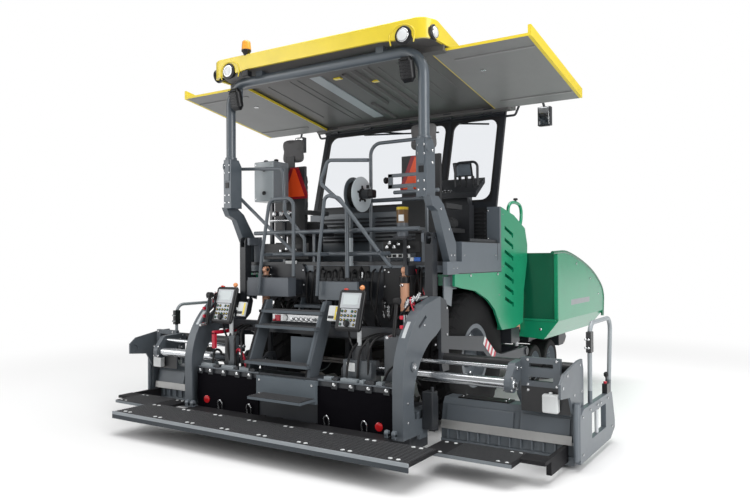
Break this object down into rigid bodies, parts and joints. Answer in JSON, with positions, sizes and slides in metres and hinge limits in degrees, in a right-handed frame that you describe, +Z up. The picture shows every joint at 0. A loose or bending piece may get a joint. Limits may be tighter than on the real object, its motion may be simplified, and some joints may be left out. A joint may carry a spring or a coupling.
{
  "type": "wheeled asphalt paver",
  "caption": "Wheeled asphalt paver with front hopper, operator platform under a roof, and a lifting screed whose extensions slide out to the sides.",
  "frame": {"origin": "on the road under the middle of the overall length, in the machine's middle plane", "axes": "+X forward to the hopper, +Y to the machine's left, +Z up"},
  "size_m": [5.93, 5.07, 3.96],
  "materials": {
    "dark_steel": "satin dark grey paint",
    "grey_steel": "satin mid grey paint",
    "pale_grey": "satin pale grey paint",
    "green_paint": "gloss green paint",
    "yellow_paint": "gloss yellow paint",
    "salmon_paint": "satin salmon paint",
    "engine_grey": "painted castings",
    "worn_steel": "worn bare steel",
    "bright_steel": "hard chrome and plated tube",
    "console_grey": "textured housing",
    "seat_shell": "moulded shell",
    "seat_fabric": "dark weatherproof cover",
    "black_rubber": "matt rubber sheet",
    "tyre_rubber": "pneumatic tyre",
    "solid_tyre": "solid rubber on a painted disc",
    "lamp_glass": "lamp lens and beacon",
    "window_glass": "clear safety glass"
  },
  "bodies": {
    "tractor": {"chassis_frame": "dark_steel", "engine_block": "engine_grey", "hood_sides": "green_paint", "hood_top": "green_paint", "fenders": "green_paint", "platform_deck": "grey_steel", "rear_bulkhead": "grey_steel", "roof_posts": "grey_steel", "roof_panel": "grey_steel", "roof_cover": "yellow_paint", "lamps": "lamp_glass", "windshield_frame": "dark_steel", "windshield_glass": "window_glass", "seat_frames": "seat_shell", "seat_cushions": "seat_fabric", "operator_console": "console_grey", "storage_cabinet": "pale_grey", "hose_reel": "dark_steel", "handrails": "grey_steel", "hopper_floor": "worn_steel", "conveyor_slats": "worn_steel", "levelling_cylinders": "salmon_paint"},
    "screed": {"screed_frame": "grey_steel", "screed_walkway": "dark_steel", "screed_mats": "black_rubber", "control_stands": "pale_grey"},
    "left_drive_wheel": {"left_drive_tyre": "tyre_rubber", "left_drive_rim": "pale_grey"},
    "left_fore_steering": {"left_fore_knuckle": "dark_steel"},
    "left_fore_front_wheel": {"left_fore_wheel": "solid_tyre"},
    "left_aft_steering": {"left_aft_knuckle": "dark_steel"},
    "left_aft_front_wheel": {"left_aft_wheel": "solid_tyre"},
    "left_roller": {"left_push_roller": "worn_steel"},
    "left_spreading_auger": {"left_auger": "worn_steel"},
    "left_hopper": {"left_hopper_wing": "green_paint"},
    "left_canopy": {"left_canopy_wing": "grey_steel"},
    "left_extension": {"left_extension_screed": "grey_steel", "left_extension_guides": "bright_steel", "left_end_gate": "grey_steel", "left_extension_footboard": "dark_steel"},
    "left_link": {"left_screed_link": "grey_steel"},
    "left_lift_cylinder": {"left_lift_barrel": "salmon_paint"},
    "left_lift_piston": {"left_lift_rod": "bright_steel"},
    "right_drive_wheel": {"right_drive_tyre": "tyre_rubber", "right_drive_rim": "pale_grey"},
    "right_fore_steering": {"right_fore_knuckle": "dark_steel"},
    "right_fore_front_wheel": {"right_fore_wheel": "solid_tyre"},
    "right_aft_steering": {"right_aft_knuckle": "dark_steel"},
    "right_aft_front_wheel": {"right_aft_wheel": "solid_tyre"},
    "right_roller": {"right_push_roller": "worn_steel"},
    "right_spreading_auger": {"right_auger": "worn_steel"},
    "right_hopper": {"right_hopper_wing": "green_paint"},
    "right_canopy": {"right_canopy_wing": "grey_steel"},
    "right_extension": {"right_extension_screed": "grey_steel", "right_extension_guides": "bright_steel", "right_end_gate": "grey_steel", "right_extension_footboard": "dark_steel"},
    "right_link": {"right_screed_link": "grey_steel"},
    "right_lift_cylinder": {"right_lift_barrel": "salmon_paint"},
    "right_lift_piston": {"right_lift_rod": "bright_steel"}
  },
  "joints": [
    {"name": "left_drive_spin", "type": "hinge", "parent": "tractor", "child": "left_drive_wheel", "pos_m": [-0.7, 0.99, 0.69], "axis": [0, 1, 0], "continuous": true},
    {"name": "left_fore_steer", "type": "hinge", "parent": "tractor", "child": "left_fore_steering", "pos_m": [2.205, 0.865, 0.6], "axis": [0, 0, 1], "range_deg": [-20, 20]},
    {"name": "left_fore_spin", "type": "hinge", "parent": "left_fore_steering", "child": "left_fore_front_wheel", "pos_m": [2.205, 0.865, 0.27], "axis": [0, 1, 0], "continuous": true},
    {"name": "left_aft_steer", "type": "hinge", "parent": "tractor", "child": "left_aft_steering", "pos_m": [1.565, 0.865, 0.6], "axis": [0, 0, 1], "range_deg": [-20, 20]},
    {"name": "left_aft_spin", "type": "hinge", "parent": "left_aft_steering", "child": "left_aft_front_wheel", "pos_m": [1.565, 0.865, 0.27], "axis": [0, 1, 0], "continuous": true},
    {"name": "left_roller_spin", "type": "hinge", "parent": "tractor", "child": "left_roller", "pos_m": [2.865, 0.61, 0.52], "axis": [0, 1, 0], "continuous": true},
    {"name": "left_auger_spin", "type": "hinge", "parent": "tractor", "child": "left_spreading_auger", "pos_m": [-1.285, 0.4, 0.3], "axis": [0, 1, 0], "continuous": true},
    {"name": "left_hopper_fold", "type": "hinge", "parent": "tractor", "child": "left_hopper", "pos_m": [1.535, 0.64, 0.8], "axis": [1, 0, 0], "range_deg": [0, 50]},
    {"name": "left_canopy_slide", "type": "slide", "parent": "tractor", "child": "left_canopy", "axis": [0, -1, 0], "range_m": [0, 0.75]},
    {"name": "left_extension_slide", "type": "slide", "parent": "screed", "child": "left_extension", "axis": [0, -1, 0], "range_m": [0, 1.19]},
    {"name": "left_link_swing", "type": "hinge", "parent": "tractor", "child": "left_link", "pos_m": [-1.635, 1.145, 1.885], "axis": [0, -1, 0], "range_deg": [0, 9.66]},
    {"name": "left_lift_swing", "type": "hinge", "parent": "tractor", "child": "left_lift_cylinder", "pos_m": [-1.625, 0.86, 1.58], "axis": [0, -1, 0], "range_deg": [0, 4.72]},
    {"name": "left_lift_stroke", "type": "slide", "parent": "left_lift_cylinder", "child": "left_lift_piston", "axis": [0, 0, 1], "range_m": [0, 0.2053]},
    {"name": "right_drive_spin", "type": "hinge", "parent": "tractor", "child": "right_drive_wheel", "pos_m": [-0.7, -0.99, 0.69], "axis": [0, 1, 0], "continuous": true},
    {"name": "right_fore_steer", "type": "hinge", "parent": "tractor", "child": "right_fore_steering", "pos_m": [2.205, -0.865, 0.6], "axis": [0, 0, 1], "range_deg": [-20, 20]},
    {"name": "right_fore_spin", "type": "hinge", "parent": "right_fore_steering", "child": "right_fore_front_wheel", "pos_m": [2.205, -0.865, 0.27], "axis": [0, 1, 0], "continuous": true},
    {"name": "right_aft_steer", "type": "hinge", "parent": "tractor", "child": "right_aft_steering", "pos_m": [1.565, -0.865, 0.6], "axis": [0, 0, 1], "range_deg": [-20, 20]},
    {"name": "right_aft_spin", "type": "hinge", "parent": "right_aft_steering", "child": "right_aft_front_wheel", "pos_m": [1.565, -0.865, 0.27], "axis": [0, 1, 0], "continuous": true},
    {"name": "right_roller_spin", "type": "hinge", "parent": "tractor", "child": "right_roller", "pos_m": [2.865, -0.61, 0.52], "axis": [0, 1, 0], "continuous": true},
    {"name": "right_auger_spin", "type": "hinge", "parent": "tractor", "child": "right_spreading_auger", "pos_m": [-1.285, -0.4, 0.3], "axis": [0, 1, 0], "continuous": true},
    {"name": "right_hopper_fold", "type": "hinge", "parent": "tractor", "child": "right_hopper", "pos_m": [1.535, -0.64, 0.8], "axis": [-1, 0, 0], "range_deg": [0, 50]},
    {"name": "right_canopy_slide", "type": "slide", "parent": "tractor", "child": "right_canopy", "axis": [0, 1, 0], "range_m": [0, 0.75]},
    {"name": "right_extension_slide", "type": "slide", "parent": "screed", "child": "right_extension", "axis": [0, 1, 0], "range_m": [0, 1.19]},
    {"name": "right_link_swing", "type": "hinge", "parent": "tractor", "child": "right_link", "pos_m": [-1.635, -1.145, 1.885], "axis": [0, -1, 0], "range_deg": [0, 9.66]},
    {"name": "right_lift_swing", "type": "hinge", "parent": "tractor", "child": "right_lift_cylinder", "pos_m": [-1.625, -0.86, 1.58], "axis": [0, -1, 0], "range_deg": [0, 4.72]},
    {"name": "right_lift_stroke", "type": "slide", "parent": "right_lift_cylinder", "child": "right_lift_piston", "axis": [0, 0, 1], "range_m": [0, 0.2053]},
    {"name": "screed_lift", "type": "hinge", "parent": "tractor", "child": "screed", "pos_m": [0.505, 0, 0.6], "axis": [0, 1, 0], "range_deg": [0, 5.5]}
  ],
  "couplings": [
    {"joint": "left_aft_steer", "follows": "left_fore_steer", "ratio": 1},
    {"joint": "left_link_swing", "follows": "screed_lift", "ratio": 1.7205},
    {"joint": "left_lift_swing", "follows": "screed_lift", "ratio": 0.82098},
    {"joint": "left_lift_stroke", "follows": "screed_lift", "m_per_rad": 2.0969},
    {"joint": "right_fore_steer", "follows": "left_fore_steer", "ratio": 1},
    {"joint": "right_aft_steer", "follows": "left_fore_steer", "ratio": 1},
    {"joint": "right_link_swing", "follows": "screed_lift", "ratio": 1.7205},
    {"joint": "right_lift_swing", "follows": "screed_lift", "ratio": 0.82098},
    {"joint": "right_lift_stroke", "follows": "screed_lift", "m_per_rad": 2.0969}
  ]
}
